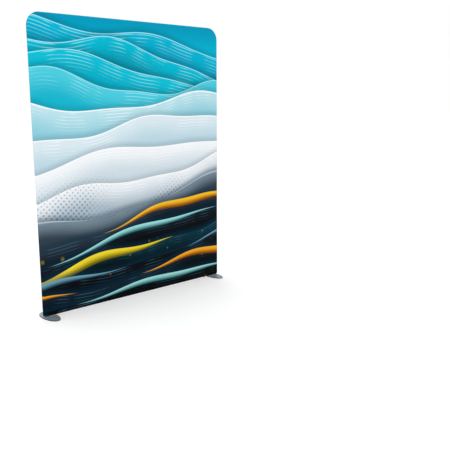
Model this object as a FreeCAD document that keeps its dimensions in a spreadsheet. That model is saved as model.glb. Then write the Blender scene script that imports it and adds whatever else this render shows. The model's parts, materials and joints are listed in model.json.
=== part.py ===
import FreeCAD, Part
import enum
import math
import os
import re
import Sketcher

# A free-standing display wall: a stretch-fabric cover, zipped along its bottom edge, over a frame of
# plug-together aluminium tubes on two oval foot plates. Millimetres. The floor is z = 0, the wall
# stands along x, centred on the origin, and its printed front faces -y.

SIZES = {
    # whole wall, cover included
    "wall_width": 2000,
    "wall_height": 2500,
    "cover_gap": 12,
    # stretch fabric
    "fabric_thickness": 1,
    "fabric_clearance": 0.3,
    "hem_turn_radius": 3,
    # frame tubes and their bent top corners
    "tube_diameter": 30,
    "tube_wall": 1.5,
    "bend_radius": 97,
    "bend_drop": 150,
    "bend_run": 300,
    "bottom_joint_offset": 120,
    # spigots inside the tube joints
    "spigot_length": 140,
    "spigot_wall": 2,
    "spigot_clearance": 0.2,
    "spigot_chamfer": 1.5,
    "joint_setback": 35,
    # blind rivet that holds a spigot in one tube
    "rivet_diameter": 4.8,
    "rivet_clearance": 0.1,
    "rivet_head_diameter": 8,
    "rivet_head_height": 1.2,
    "rivet_tail_diameter": 6.8,
    "rivet_tail_length": 2.5,
    "rivet_tail_gap": 1.5,
    # snap button and its hairpin spring
    "button_diameter": 8,
    "button_clearance": 0.3,
    "button_proud": 1.6,
    "button_dome": 1.2,
    "button_flange_diameter": 11,
    "button_flange_thickness": 1.2,
    "button_seat_gap": 0.3,
    "spring_thickness": 0.7,
    "spring_width": 7,
    "spring_reach": 40,
    "spring_tip": 5,
    "spring_seat_gap": 0.3,
    # cast elbows at the bottom corners
    "elbow_rise": 70,
    "elbow_run": 110,
    "elbow_bore_inset": 25,
    "boss_diameter": 22,
    "boss_gap": 0.5,
    # saddles at the ends of the centre post
    "saddle_reach": 40,
    "saddle_lip": 6,
    "saddle_plug": 45,
    "saddle_clearance": 0.1,
    "peg_diameter": 8,
    "peg_depth": 6,
    "peg_clearance": 0.2,
    # oval feet
    "foot_length": 285,
    "foot_width": 128,
    "foot_thickness": 7,
    "foot_edge_radius": 1,
    "foot_inset": 61,
    "foot_clearance": 0.2,
    "pad_height": 1,
    "pad_diameter": 22,
    # foot screw and the threaded insert above it
    "screw_diameter": 8,
    "screw_length": 22,
    "screw_head_diameter": 15.6,
    "screw_head_height": 3.8,
    "screw_recess": 0.4,
    "screw_clearance": 0.2,
    "screw_chamfer": 1,
    "socket_width": 5,
    "socket_depth": 2.8,
    "insert_diameter": 12,
    "insert_length": 18,
    "insert_clearance": 0.05,
    # zip under the bottom rail
    "zip_room": 3,
    "zip_foot_gap": 77.5,
    "zip_tape_thickness": 0.8,
    "zip_tape_half_width": 13.5,
    "zip_tape_tail": 10,
    "zip_tape_gap": 0.2,
    "zip_opening_half_width": 10,
    "zip_end": 6,
    "zip_stop_length": 3,
    "teeth_height": 2.2,
    "teeth_width": 2,
    "teeth_slot": 1.4,
    "teeth_gap": 0.1,
    # zip slider and pull
    "slider_length": 13,
    "slider_nose_width": 9,
    "slider_tail_width": 7.4,
    "slider_plate": 0.9,
    "slider_clearance": 0.3,
    "slider_flange": 1,
    "slider_neck_width": 0.8,
    "slider_neck_length": 3.5,
    "slider_neck_inset": 0.5,
    "bail_length": 10,
    "bail_width": 2.2,
    "bail_thickness": 1,
    "bail_corner_radius": 2.4,
    "pull_length": 24,
    "pull_width": 8,
    "pull_thickness": 1.2,
    "pull_bar_diameter": 1.4,
    "pull_window_width": 3.4,
    "pull_window_length": 6.2,
    "pull_clearance": 0.25,
    "pull_hole_diameter": 3,
}

# Places of the pads under a foot, as shares of its width and length.
PAD_WIDTH_SHARE = 0.2
PAD_LENGTH_SHARE = 0.33

# Sizes that follow from the ones above.
DERIVED = {
    "tube_radius": "tube_diameter / 2",
    "tube_bore": "tube_diameter - 2 * tube_wall",
    "cover_inner_radius": "tube_radius + fabric_clearance",
    "cover_radius": "cover_inner_radius + fabric_thickness",
    "post_x": "wall_width / 2 - cover_radius",
    "top_rail_z": "wall_height - cover_radius",
    "hem_z": "cover_gap + cover_radius",
    "bottom_rail_z": "hem_z + zip_room",
    "bend_end_x": "post_x - bend_radius - bend_run",
    "bend_end_z": "top_rail_z - bend_radius - bend_drop",
    "post_start_z": "bottom_rail_z + elbow_rise",
    "post_length": "(bend_end_z - post_start_z) / 2",
    "rail_start_x": "post_x - elbow_run",
    "centre_start_z": "bottom_rail_z + saddle_reach",
    "centre_length": "(top_rail_z - bottom_rail_z) / 2 - saddle_reach",
    "spigot_diameter": "tube_bore - 2 * spigot_clearance",
    "spigot_radius": "spigot_diameter / 2",
    "spigot_bore": "spigot_diameter - 2 * spigot_wall",
    "spigot_half": "spigot_length / 2",
    "rivet_hole": "rivet_diameter + 2 * rivet_clearance",
    "button_hole": "button_diameter + 2 * button_clearance",
    "button_seat": "sqrt((spigot_bore / 2) ^ 2 - (button_flange_diameter / 2) ^ 2) - button_seat_gap",
    "button_foot": "button_seat - button_flange_thickness",
    "button_top": "tube_radius + button_proud",
    "button_dome_radius": "((button_diameter / 2) ^ 2 + button_dome ^ 2) / (2 * button_dome)",
    "spring_top": "button_foot - spring_seat_gap",
    "spring_base": "sqrt((spigot_bore / 2) ^ 2 - (spring_width / 2) ^ 2) - spring_seat_gap",
    "spring_bend": "(spring_top + spring_base) / 2",
    "rivet_tail_top": "spigot_bore / 2 - rivet_tail_gap",
    "rivet_head_dome_radius":
        "((rivet_head_diameter / 2) ^ 2 + rivet_head_height ^ 2) / (2 * rivet_head_height)",
    "foot_top": "pad_height + foot_thickness",
    "foot_x": "wall_width / 2 - foot_inset",
    "foot_offset": "foot_inset - cover_radius",
    "boss_drop": "bottom_rail_z - foot_top - foot_clearance",
    "screw_seat": "pad_height + screw_recess",
    "zip_length": "2 * (foot_x - boss_diameter / 2 - boss_gap - zip_foot_gap)",
    "tape_outer_radius": "cover_inner_radius - zip_tape_gap",
    "tape_inner_radius": "tape_outer_radius - zip_tape_thickness",
    "tape_edge": "teeth_reach + teeth_gap",
    "teeth_z": "hem_z - (tape_outer_radius + tape_inner_radius) / 2",
    "teeth_half": "zip_length / 2 - zip_end",
    "teeth_reach": "teeth_slot / 2 + teeth_width",
    "slider_top": "teeth_height / 2 + slider_clearance",
    "slider_x": "teeth_half - slider_length",
    "slider_flange_in": "teeth_reach + slider_clearance",
    "slider_nose_x": "slider_length / 2 - slider_nose_width / 2",
    "pull_drop": "slider_top + slider_plate + pull_clearance + pull_bar_diameter / 2",
    "bail_inside": "pull_drop + pull_bar_diameter / 2 + pull_clearance",
    "bail_drop": "bail_inside + bail_thickness",
}

X_AXIS = FreeCAD.Vector(1, 0, 0)
Y_AXIS = FreeCAD.Vector(0, 1, 0)
Z_AXIS = FreeCAD.Vector(0, 0, 1)


class Axis(enum.IntEnum):
    """Geometry numbers that a sketch gives its own axes."""
    HORIZONTAL = -1
    VERTICAL = -2


class Spot(enum.IntEnum):
    """Numbers of an edge's points; the start of the horizontal axis is the sketch's origin."""
    START = 1
    END = 2
    CENTRE = 3


doc = FreeCAD.newDocument("display_wall")
sheet = doc.addObject("Spreadsheet::Sheet", "Sizes")
for row, (size_name, size) in enumerate(SIZES.items(), start=1):
    sheet.set(f"A{row}", size_name)
    sheet.set(f"B{row}", str(size))
    sheet.setAlias(f"B{row}", size_name)
doc.recompute()

nodes = []


def formula(text):
    """Spell a formula out in cells of the sheet, derived sizes first."""
    def spell(match):
        word = match.group(0)
        if word in DERIVED:
            return "(" + formula(DERIVED[word]) + ")"
        return "Sizes." + word if word in SIZES else word
    return re.sub(r"[a-z]\w+", spell, text)


def number(text):
    """The value that a formula has now."""
    return float(sheet.evalExpression(formula(text)))


def bind(item, path, text):
    item.setExpression(path, formula(text))


def new_body(name, is_node=True):
    body = doc.addObject("PartDesign::Body", name)
    body.Label = name
    body.AllowCompound = True
    if is_node:
        nodes.append(body)
    return body


def place(item, x="0", y="0", z="0", rotation=FreeCAD.Rotation()):
    """Set a sub-part in the wall, its place bound to the sheet."""
    item.Placement = FreeCAD.Placement(FreeCAD.Vector(), rotation)
    for path, text in (("x", x), ("y", y), ("z", z)):
        if text != "0":
            bind(item, "Placement.Base." + path, text)


def facing(along, outward):
    """Turn local -x along a tube, away from its joint, and local z out through the tube's wall."""
    return FreeCAD.Rotation(along * -1, outward.cross(along * -1), outward, "ZXY")


def new_sketch(body, role, offset="0"):
    """A sketch on one of the body's own origin planes, moved along its normal."""
    sketch = body.newObject("Sketcher::SketchObject", body.Name + "_sketch")
    planes = [item for item in body.Origin.OriginFeatures if item.Role == role]
    sketch.AttachmentSupport = [(planes[0], "")]
    sketch.MapMode = "FlatFace"
    if offset != "0":
        bind(sketch, "AttachmentOffset.Base.z", offset)
    return sketch


def pin(sketch, edge, point, x, y):
    """Hold a point of an edge at a place given in sizes."""
    for kind, axis, text in (("DistanceX", Axis.VERTICAL, x), ("DistanceY", Axis.HORIZONTAL, y)):
        if text == "0":
            sketch.addConstraint(Sketcher.Constraint("PointOnObject", edge, point, axis))
        else:
            rule = Sketcher.Constraint(kind, Axis.HORIZONTAL, Spot.START, edge, point, number(text))
            bind(sketch, f"Constraints[{sketch.addConstraint(rule)}]", text)


def add_circle(sketch, diameter, x="0", y="0"):
    middle = FreeCAD.Vector(number(x), number(y), 0)
    edge = sketch.addGeometry(Part.Circle(middle, Z_AXIS, number(diameter) / 2))
    pin(sketch, edge, Spot.CENTRE, x, y)
    rule = sketch.addConstraint(Sketcher.Constraint("Diameter", edge, number(diameter)))
    bind(sketch, f"Constraints[{rule}]", diameter)


def draw(sketch, start, steps, closed=True):
    """Draw an outline from start. A step is a point, or a point and the centre of the arc to it."""
    corners = [start] + [step[:2] for step in steps]
    spots = [FreeCAD.Vector(number(x), number(y), 0) for x, y in corners]
    last = None
    for index, step in enumerate(steps):
        here, there = spots[index], spots[index + 1]
        first, second = Spot.START, Spot.END
        if len(step) == 2:
            edge = sketch.addGeometry(Part.LineSegment(here, there))
        else:
            middle = FreeCAD.Vector(number(step[2]), number(step[3]), 0)
            if (here - middle).cross(there - middle).z < 0:
                here, there = there, here
                first, second = Spot.END, Spot.START
            spokes = [here - middle, there - middle]
            angles = [math.atan2(spoke.y, spoke.x) for spoke in spokes]
            if angles[1] < angles[0]:
                angles[1] += math.tau
            ring = Part.Circle(middle, Z_AXIS, spokes[0].Length)
            edge = sketch.addGeometry(Part.ArcOfCircle(ring, angles[0], angles[1]))
            pin(sketch, edge, Spot.CENTRE, step[2], step[3])
        if last is None:
            pin(sketch, edge, first, *start)
            opening = (edge, first)
        else:
            sketch.addConstraint(Sketcher.Constraint("Coincident", last[0], last[1], edge, first))
        last = (edge, second)
        if len(step) == 2:
            if not closed or index + 1 < len(steps):
                pin(sketch, edge, second, *step)
        else:
            pin_arc_end(sketch, edge, second, here if second == Spot.START else there, middle, step)
    if closed:
        sketch.addConstraint(Sketcher.Constraint("Coincident", last[0], last[1], *opening))


def pin_arc_end(sketch, edge, point, spot, middle, step):
    """An arc's end lies on its circle already, so one distance holds it: the one that moves most."""
    spoke = spot - middle
    if abs(spoke.y) > abs(spoke.x):
        kind, axis, text = "DistanceX", Axis.VERTICAL, step[0]
    else:
        kind, axis, text = "DistanceY", Axis.HORIZONTAL, step[1]
    if text == "0":
        sketch.addConstraint(Sketcher.Constraint("PointOnObject", edge, point, axis))
    else:
        rule = Sketcher.Constraint(kind, Axis.HORIZONTAL, Spot.START, edge, point, number(text))
        bind(sketch, f"Constraints[{sketch.addConstraint(rule)}]", text)


def feature(body, kind, sketch, length=None, reverse=False):
    """Add a sketched feature to the body."""
    made = body.newObject("PartDesign::" + kind, body.Name + "_" + kind.lower())
    made.Profile = sketch
    made.Reversed = reverse
    if length is not None:
        bind(made, "Length", length)
    return made


def turned(body, kind, sketch, axis="V_Axis"):
    """Add a full revolution or groove about an axis of the sketch."""
    made = body.newObject("PartDesign::" + kind, body.Name + "_" + kind.lower())
    made.Profile = sketch
    made.ReferenceAxis = (sketch, [axis])
    return made


def ring_pad(body, outer, inner, length, offset="0"):
    section = new_sketch(body, "XY_Plane", offset)
    add_circle(section, outer)
    add_circle(section, inner)
    return feature(body, "Pad", section, length)


def side_hole(body, diameter, along):
    """Drill the wall on local +x, at a height along local z."""
    sketch = new_sketch(body, "YZ_Plane")
    add_circle(sketch, diameter, "0", along)
    return feature(body, "Pocket", sketch, "tube_diameter", reverse=True)


def straight_tube(name, length, start_hole, end_hole):
    """A tube along local z with one joint hole near each end, on local +x."""
    body = new_body(name)
    ring_pad(body, "tube_diameter", "tube_bore", length)
    if start_hole:
        side_hole(body, start_hole, "joint_setback")
    if end_hole:
        side_hole(body, end_hole, f"{length} - joint_setback")
    return body


def bent_corner(name):
    """A tube bent square: down along local z and out along local x from the crossing of its axes."""
    body = new_body(name)
    section = new_sketch(body, "XY_Plane", "-bend_radius - bend_drop")
    add_circle(section, "tube_diameter")
    add_circle(section, "tube_bore")
    path = new_sketch(body, "XZ_Plane")
    draw(path, ("0", "-bend_radius - bend_drop"), [
        ("0", "-bend_radius"),
        ("bend_radius", "0", "bend_radius", "-bend_radius"),
        ("bend_radius + bend_run", "0"),
    ], closed=False)
    doc.recompute()
    pipe = body.newObject("PartDesign::AdditivePipe", name + "_pipe")
    pipe.Profile = section
    pipe.Spine = path
    side_hole(body, "rivet_hole", "joint_setback - bend_radius - bend_drop")
    sketch = new_sketch(body, "XY_Plane")
    add_circle(sketch, "rivet_hole", "bend_radius + bend_run - joint_setback")
    feature(body, "Pocket", sketch, "tube_diameter")
    return body


def spigot(name):
    """A sleeve inside a joint: riveted below local z = 0, with the button's hole above it."""
    body = new_body(name)
    half = new_sketch(body, "XZ_Plane")
    draw(half, ("spigot_bore / 2", "-spigot_half"), [
        ("spigot_radius - spigot_chamfer / 2", "-spigot_half"),
        ("spigot_radius", "spigot_chamfer - spigot_half"),
        ("spigot_radius", "spigot_half - spigot_chamfer"),
        ("spigot_radius - spigot_chamfer / 2", "spigot_half"),
        ("spigot_bore / 2", "spigot_half"),
        ("spigot_bore / 2", "-spigot_half"),
    ])
    turned(body, "Revolution", half)
    side_hole(body, "rivet_hole", "-joint_setback")
    side_hole(body, "button_hole", "joint_setback")
    return body


def elbow(name):
    """A cast bottom corner: arms with spigots up local z and along local x, and a boss for the foot."""
    body = new_body(name)
    rise = new_sketch(body, "XZ_Plane")
    draw(rise, ("0", "-tube_radius"), [
        ("tube_radius", "0", "0", "0"),
        ("tube_radius", "elbow_rise"),
        ("spigot_radius", "elbow_rise"),
        ("spigot_radius", "elbow_rise + spigot_half - spigot_chamfer"),
        ("spigot_radius - spigot_chamfer / 2", "elbow_rise + spigot_half"),
        ("0", "elbow_rise + spigot_half"),
        ("0", "-tube_radius"),
    ])
    turned(body, "Revolution", rise)
    run = new_sketch(body, "XZ_Plane")
    draw(run, ("0", "0"), [
        ("0", "tube_radius"),
        ("elbow_run", "tube_radius"),
        ("elbow_run", "spigot_radius"),
        ("elbow_run + spigot_half - spigot_chamfer", "spigot_radius"),
        ("elbow_run + spigot_half", "spigot_radius - spigot_chamfer / 2"),
        ("elbow_run + spigot_half", "0"),
        ("0", "0"),
    ])
    turned(body, "Revolution", run, "H_Axis")
    boss = new_sketch(body, "XY_Plane")
    add_circle(boss, "boss_diameter", "foot_offset")
    feature(body, "Pad", boss, "boss_drop", reverse=True)
    bore = new_sketch(body, "XY_Plane", "elbow_rise + spigot_half")
    add_circle(bore, "spigot_bore")
    feature(body, "Pocket", bore, "spigot_half + elbow_bore_inset")
    bore = new_sketch(body, "YZ_Plane", "elbow_run + spigot_half")
    add_circle(bore, "spigot_bore")
    feature(body, "Pocket", bore, "spigot_half + elbow_bore_inset")
    side_hole(body, "button_hole", "elbow_rise + joint_setback")
    hole = new_sketch(body, "XY_Plane")
    add_circle(hole, "button_hole", "elbow_run + joint_setback")
    feature(body, "Pocket", hole, "tube_diameter", reverse=True)
    hole = new_sketch(body, "XY_Plane", "-boss_drop")
    add_circle(hole, "insert_diameter + 2 * insert_clearance", "foot_offset")
    feature(body, "Pocket", hole, "insert_length + screw_recess", reverse=True)
    return body


def saddle(name):
    """An end plug of the centre post, hollowed to sit on a rail along local x, with a locating peg."""
    body = new_body(name)
    head = new_sketch(body, "XY_Plane", "saddle_lip")
    add_circle(head, "tube_diameter")
    feature(body, "Pad", head, "saddle_reach - saddle_lip")
    plug = new_sketch(body, "XY_Plane", "saddle_reach")
    add_circle(plug, "spigot_diameter")
    feature(body, "Pad", plug, "saddle_plug")
    hollow = new_sketch(body, "YZ_Plane", "-tube_diameter")
    add_circle(hollow, "tube_diameter + 2 * saddle_clearance")
    feature(body, "Pocket", hollow, "2 * tube_diameter", reverse=True)
    peg = new_sketch(body, "XY_Plane", "tube_radius - peg_depth")
    add_circle(peg, "peg_diameter")
    feature(body, "Pad", peg, "saddle_reach - tube_radius + peg_depth")
    return body


def snap_button(name):
    """A domed pin on a flange; local z points out through the tube's wall from the tube's axis."""
    body = new_body(name)
    half = new_sketch(body, "XZ_Plane")
    draw(half, ("0", "button_foot"), [
        ("button_flange_diameter / 2", "button_foot"),
        ("button_flange_diameter / 2", "button_seat"),
        ("button_diameter / 2", "button_seat"),
        ("button_diameter / 2", "button_top - button_dome"),
        ("0", "button_top", "0", "button_top - button_dome_radius"),
        ("0", "button_foot"),
    ])
    turned(body, "Revolution", half)
    return body


def hairpin_spring(name):
    """A leaf bent back on itself: one leg under the button, one on the far wall of the bore."""
    body = new_body(name, is_node=False)
    side = new_sketch(body, "XZ_Plane", "-spring_width / 2")
    inner = "spring_bend - spring_thickness"
    draw(side, ("-spring_tip", "spring_top"), [
        ("spring_reach", "spring_top"),
        ("spring_reach + spring_bend", "spring_top - spring_bend",
         "spring_reach", "spring_top - spring_bend"),
        ("spring_reach", "-spring_base", "spring_reach", "spring_top - spring_bend"),
        ("-spring_tip", "-spring_base"),
        ("-spring_tip", "spring_thickness - spring_base"),
        ("spring_reach", "spring_thickness - spring_base"),
        (f"spring_reach + {inner}", "spring_top - spring_bend",
         "spring_reach", "spring_top - spring_bend"),
        ("spring_reach", "spring_top - spring_thickness",
         "spring_reach", "spring_top - spring_bend"),
        ("-spring_tip", "spring_top - spring_thickness"),
        ("-spring_tip", "spring_top"),
    ])
    feature(body, "Pad", side, "spring_width")
    return body


def blind_rivet(name):
    """A rivet through tube and spigot; local z points out through the tube's wall."""
    body = new_body(name, is_node=False)
    half = new_sketch(body, "XZ_Plane")
    draw(half, ("0", "rivet_tail_top - rivet_tail_length"), [
        ("rivet_tail_diameter / 2", "rivet_tail_top - rivet_tail_length"),
        ("rivet_tail_diameter / 2", "rivet_tail_top"),
        ("rivet_diameter / 2", "rivet_tail_top"),
        ("rivet_diameter / 2", "tube_radius"),
        ("rivet_head_diameter / 2", "tube_radius"),
        ("0", "tube_radius + rivet_head_height",
         "0", "tube_radius + rivet_head_height - rivet_head_dome_radius"),
        ("0", "rivet_tail_top - rivet_tail_length"),
    ])
    turned(body, "Revolution", half)
    return body


def group(name, members):
    """One node for several like pieces."""
    made = doc.addObject("Part::Compound", name)
    made.Label = name
    made.Links = members
    nodes.append(made)


def foot_plate(name):
    """An oval steel plate with an eased top edge and a countersunk hole for its screw."""
    body = new_body(name)
    oval = new_sketch(body, "XY_Plane")
    tip = FreeCAD.Vector(0, number("foot_length") / 2, 0)
    flank = FreeCAD.Vector(-number("foot_width") / 2, 0, 0)
    edge = oval.addGeometry(Part.Ellipse(tip, flank, FreeCAD.Vector()))
    oval.exposeInternalGeometry(edge)
    pin(oval, edge, Spot.CENTRE, "0", "0")
    long_axis, short_axis = [index for index, item in enumerate(oval.Geometry)
                             if isinstance(item, Part.LineSegment)]
    oval.addConstraint(Sketcher.Constraint("Vertical", long_axis))
    for axis, size_name in ((long_axis, "foot_length"), (short_axis, "foot_width")):
        rule = oval.addConstraint(Sketcher.Constraint("Distance", axis, number(size_name)))
        bind(oval, f"Constraints[{rule}]", size_name)
    pad = feature(body, "Pad", oval, "foot_thickness")
    doc.recompute()
    top = pad.Shape.BoundBox.ZMax
    rims = [f"Edge{index}" for index, rim in enumerate(pad.Shape.Edges, start=1)
            if math.isclose(rim.BoundBox.ZMin, top, rel_tol=1e-6)]
    ease = body.newObject("PartDesign::Fillet", name + "_fillet")
    ease.Base = (pad, rims)
    bind(ease, "Radius", "foot_edge_radius")
    sink = new_sketch(body, "XZ_Plane")
    draw(sink, ("0", "0"), [
        ("screw_head_diameter / 2 + screw_recess + screw_clearance", "0"),
        ("screw_diameter / 2 + screw_clearance", "screw_head_height + screw_recess"),
        ("screw_diameter / 2 + screw_clearance", "foot_thickness"),
        ("0", "foot_thickness"),
        ("0", "0"),
    ])
    turned(body, "Groove", sink)
    return body


def foot_pads(name):
    """Four rubber discs under one foot."""
    body = new_body(name)
    discs = new_sketch(body, "XY_Plane")
    for across in ("-", ""):
        for along in ("-", ""):
            add_circle(discs, "pad_diameter", f"{across}foot_width * {PAD_WIDTH_SHARE}",
                       f"{along}foot_length * {PAD_LENGTH_SHARE}")
    feature(body, "Pad", discs, "pad_height")
    return body


def foot_screw(name):
    """A countersunk screw with a hexagon socket, head down."""
    body = new_body(name)
    half = new_sketch(body, "XZ_Plane")
    draw(half, ("0", "0"), [
        ("screw_head_diameter / 2", "0"),
        ("screw_diameter / 2", "screw_head_height"),
        ("screw_diameter / 2", "screw_length - screw_chamfer"),
        ("screw_diameter / 2 - screw_chamfer", "screw_length"),
        ("0", "screw_length"),
        ("0", "0"),
    ])
    turned(body, "Revolution", half)
    socket = new_sketch(body, "XY_Plane")
    reach = "socket_width / sqrt(3)"
    flat = "socket_width / 2"
    draw(socket, (reach, "0"), [
        (f"{reach} / 2", flat),
        (f"-{reach} / 2", flat),
        (f"-{reach}", "0"),
        (f"-{reach} / 2", f"-{flat}"),
        (f"{reach} / 2", f"-{flat}"),
        (reach, "0"),
    ])
    feature(body, "Pocket", socket, "socket_depth", reverse=True)
    return body


def threaded_insert(name):
    body = new_body(name, is_node=False)
    ring_pad(body, "insert_diameter", "screw_diameter + 2 * insert_clearance", "insert_length")
    return body


def cover_half(name, side):
    """Half of the cover: a flat sheet and its edge rolled round the frame to the seam at y = 0."""
    body = new_body(name)
    front = side < 0
    bottom = "hem_z + hem_turn_radius"
    top = "top_rail_z - bend_radius"
    left, right = "-post_x", "post_x"
    loop = [
        ("bend_radius - post_x", "top_rail_z", "bend_radius - post_x", top),
        ("post_x - bend_radius", "top_rail_z"),
        (right, top, "post_x - bend_radius", top),
        (right, bottom),
        ("post_x - hem_turn_radius", "hem_z", "post_x - hem_turn_radius", bottom),
        ("hem_turn_radius - post_x", "hem_z"),
        (left, bottom, "hem_turn_radius - post_x", bottom),
        (left, top),
    ]
    face = new_sketch(body, "XZ_Plane", "cover_inner_radius" if front else "-cover_radius")
    draw(face, (left, top), loop)
    feature(body, "Pad", face, "fabric_thickness")
    path = new_sketch(body, "XZ_Plane")
    draw(path, (left, top), loop)
    sign = "-" if front else ""
    edge = new_sketch(body, "XY_Plane", top)
    draw(edge, ("-post_x - cover_radius", "0"), [
        (left, f"{sign}cover_radius", left, "0"),
        (left, f"{sign}cover_inner_radius"),
        ("-post_x - cover_inner_radius", "0", left, "0"),
        ("-post_x - cover_radius", "0"),
    ])
    doc.recompute()
    roll = body.newObject("PartDesign::AdditivePipe", name + "_pipe")
    roll.Profile = edge
    roll.Spine = path
    opening = new_sketch(body, "XY_Plane")
    zip_end_x = "zip_length / 2"
    draw(opening, (f"-{zip_end_x}", "-zip_opening_half_width"), [
        (zip_end_x, "-zip_opening_half_width"),
        (zip_end_x, "zip_opening_half_width"),
        (f"-{zip_end_x}", "zip_opening_half_width"),
        (f"-{zip_end_x}", "-zip_opening_half_width"),
    ])
    feature(body, "Pocket", opening, "hem_z", reverse=True)
    bosses = new_sketch(body, "XY_Plane")
    for foot in ("-foot_x", "foot_x"):
        add_circle(bosses, "boss_diameter + 2 * boss_gap", foot)
    feature(body, "Pocket", bosses, "hem_z", reverse=True)
    return body


def zip_tape(name, side):
    """A woven tape sewn inside the hem, curved with it; local z = 0 is the middle of the hem's curve."""
    body = new_body(name)
    sign = "-" if side < 0 else ""
    section = new_sketch(body, "YZ_Plane", "-zip_length / 2 - zip_tape_tail")

    def spot(radius, across):
        return f"{sign}{across}", f"-sqrt({radius} ^ 2 - {across} ^ 2)"

    draw(section, spot("tape_outer_radius", "tape_edge"), [
        (*spot("tape_outer_radius", "zip_tape_half_width"), "0", "0"),
        spot("tape_inner_radius", "zip_tape_half_width"),
        (*spot("tape_inner_radius", "tape_edge"), "0", "0"),
        spot("tape_outer_radius", "tape_edge"),
    ])
    feature(body, "Pad", section, "zip_length + 2 * zip_tape_tail")
    place(body, z="hem_z")
    return body


def box_pad(body, role, offset, low, high, length, reverse=False):
    """Pad a rectangle between two corners of the sketch."""
    sketch = new_sketch(body, role, offset)
    draw(sketch, low, [(high[0], low[1]), high, (low[0], high[1]), low])
    return feature(body, "Pad", sketch, length, reverse)


def zip_teeth(name, side):
    """One row of teeth as the bar that the slider runs on."""
    body = new_body(name)
    low, high = ("-teeth_reach", "-teeth_slot / 2") if side < 0 else ("teeth_slot / 2", "teeth_reach")
    box_pad(body, "YZ_Plane", "-teeth_half", (low, "-teeth_height / 2"), (high, "teeth_height / 2"),
            "2 * teeth_half")
    place(body, z="teeth_z")
    return body


def zip_stop(name, start):
    body = new_body(name, is_node=False)
    box_pad(body, "YZ_Plane", start, ("-teeth_reach", "-teeth_height / 2"),
            ("teeth_reach", "teeth_height / 2"), "zip_stop_length")
    place(body, z="teeth_z")
    return body


def slider_plan(sketch):
    """The slider seen from below: a round nose that tapers to the tail."""
    draw(sketch, ("-slider_length / 2", "-slider_tail_width / 2"), [
        ("slider_nose_x", "-slider_nose_width / 2"),
        ("slider_length / 2", "0", "slider_nose_x", "0"),
        ("slider_nose_x", "slider_nose_width / 2", "slider_nose_x", "0"),
        ("-slider_length / 2", "slider_tail_width / 2"),
        ("-slider_length / 2", "-slider_tail_width / 2"),
    ])


def zip_slider(name):
    """Two plates joined by a neck between the rows of teeth, with a bail below for the pull."""
    body = new_body(name)
    plate = new_sketch(body, "XY_Plane", "slider_top")
    slider_plan(plate)
    feature(body, "Pad", plate, "slider_plate")
    neck_end = "slider_length / 2 - slider_neck_inset"
    box_pad(body, "XY_Plane", "-slider_top - slider_plate",
            (f"{neck_end} - slider_neck_length", "-slider_neck_width / 2"),
            (neck_end, "slider_neck_width / 2"), "2 * slider_top + 2 * slider_plate")
    plate = new_sketch(body, "XY_Plane", "-slider_top")
    slider_plan(plate)
    feature(body, "Pad", plate, "slider_plate", reverse=True)
    for low, high in (("slider_flange_in", "slider_tail_width / 2"),
                      ("-slider_tail_width / 2", "-slider_flange_in")):
        box_pad(body, "XY_Plane", "-slider_top - slider_plate", ("-slider_length / 2", low),
                ("slider_nose_x", high), "slider_plate + slider_flange")
    arch = new_sketch(body, "XZ_Plane", "-bail_width / 2")
    foot = "bail_length / 2"
    inside = "bail_length / 2 - bail_thickness"
    turn_x = "bail_length / 2 - bail_corner_radius"
    turn_z = "bail_corner_radius - bail_drop"
    draw(arch, (f"-{foot}", "-slider_top"), [
        (f"-{foot}", turn_z),
        (f"-({turn_x})", "-bail_drop", f"-({turn_x})", turn_z),
        (turn_x, "-bail_drop"),
        (foot, turn_z, turn_x, turn_z),
        (foot, "-slider_top"),
        (inside, "-slider_top"),
        (inside, turn_z),
        (turn_x, "-bail_inside", turn_x, turn_z),
        (f"-({turn_x})", "-bail_inside"),
        (f"-({inside})", turn_z, f"-({turn_x})", turn_z),
        (f"-({inside})", "-slider_top"),
        (f"-{foot}", "-slider_top"),
    ])
    feature(body, "Pad", arch, "bail_width")
    place(body, x="slider_x", z="teeth_z")
    return body


def zip_pull(name):
    """A flat tab whose end bar turns in the slider's bail; it lies along local -x from the bar."""
    body = new_body(name)
    tab = new_sketch(body, "XY_Plane", "-pull_thickness / 2")
    half = "pull_width / 2"
    draw(tab, ("0", f"-{half}"), [
        (f"{half} - pull_length", f"-{half}"),
        ("-pull_length", "0", f"{half} - pull_length", "0"),
        (f"{half} - pull_length", half, f"{half} - pull_length", "0"),
        ("0", half),
        ("0", f"-{half}"),
    ])
    add_circle(tab, "pull_hole_diameter", f"{half} - pull_length")
    feature(body, "Pad", tab, "pull_thickness")
    window = new_sketch(body, "XY_Plane", "pull_thickness")
    draw(window, ("-pull_window_length", "-pull_window_width / 2"), [
        ("pull_bar_diameter", "-pull_window_width / 2"),
        ("pull_bar_diameter", "pull_window_width / 2"),
        ("-pull_window_length", "pull_window_width / 2"),
        ("-pull_window_length", "-pull_window_width / 2"),
    ])
    feature(body, "Pocket", window, "2 * pull_thickness")
    bar = new_sketch(body, "XZ_Plane", "-pull_width / 2")
    add_circle(bar, "pull_bar_diameter")
    feature(body, "Pad", bar, "pull_width")
    place(body, x="slider_x", z="teeth_z - pull_drop")
    return body


TURN_ROUND = FreeCAD.Rotation(Z_AXIS, 180)
ALONG_X = FreeCAD.Rotation(Y_AXIS, 90)
AGAINST_X = FreeCAD.Rotation(Y_AXIS, -90)
OVER = FreeCAD.Rotation(X_AXIS, 180)
SIDES = (("left", "-", 1, FreeCAD.Rotation()), ("right", "", -1, TURN_ROUND))

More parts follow.
